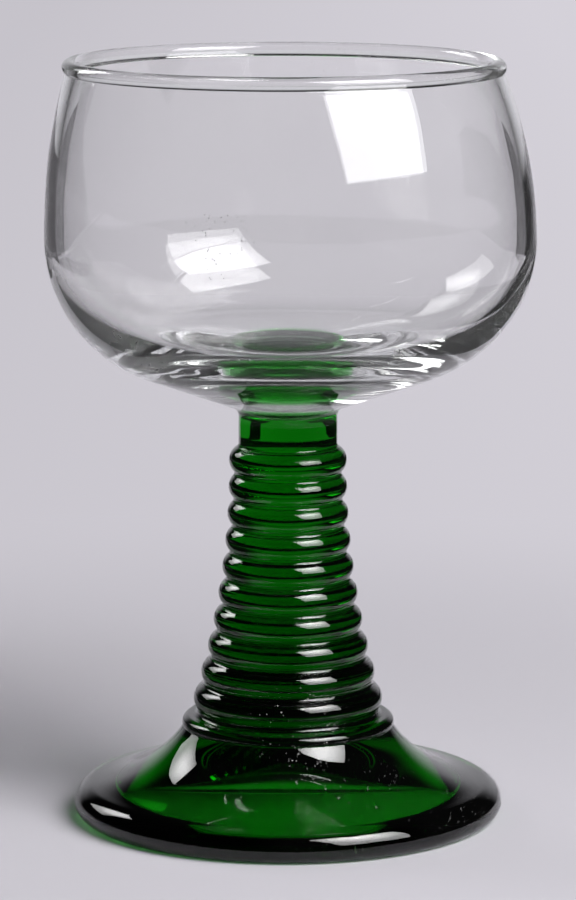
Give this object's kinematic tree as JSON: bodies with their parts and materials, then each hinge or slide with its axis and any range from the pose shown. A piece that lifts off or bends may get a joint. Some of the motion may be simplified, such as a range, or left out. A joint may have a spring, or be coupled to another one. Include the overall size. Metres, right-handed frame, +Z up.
{
  "type": "roemer glass",
  "caption": "Stemmed wine glass with a wide clear bowl on a solid green stem of stacked rings and a broad flared green foot.",
  "frame": {"origin": "on the axis, in the plane of the table that the foot stands on", "axes": "+Z up along the axis of the glass, from the foot to the rim; the glass is round, so X and Y are free"},
  "size_m": [0.084, 0.084, 0.1311],
  "materials": {
    "clear_glass": "fire-polished clear soda-lime glass with fine dust and a few light scratches",
    "green_glass": "fire-polished green glass, coloured through, nearly black where it is thick"
  },
  "bodies": {
    "root": {"foot": "green_glass", "stem": "green_glass", "bowl": "clear_glass"}
  },
  "joints": []
}
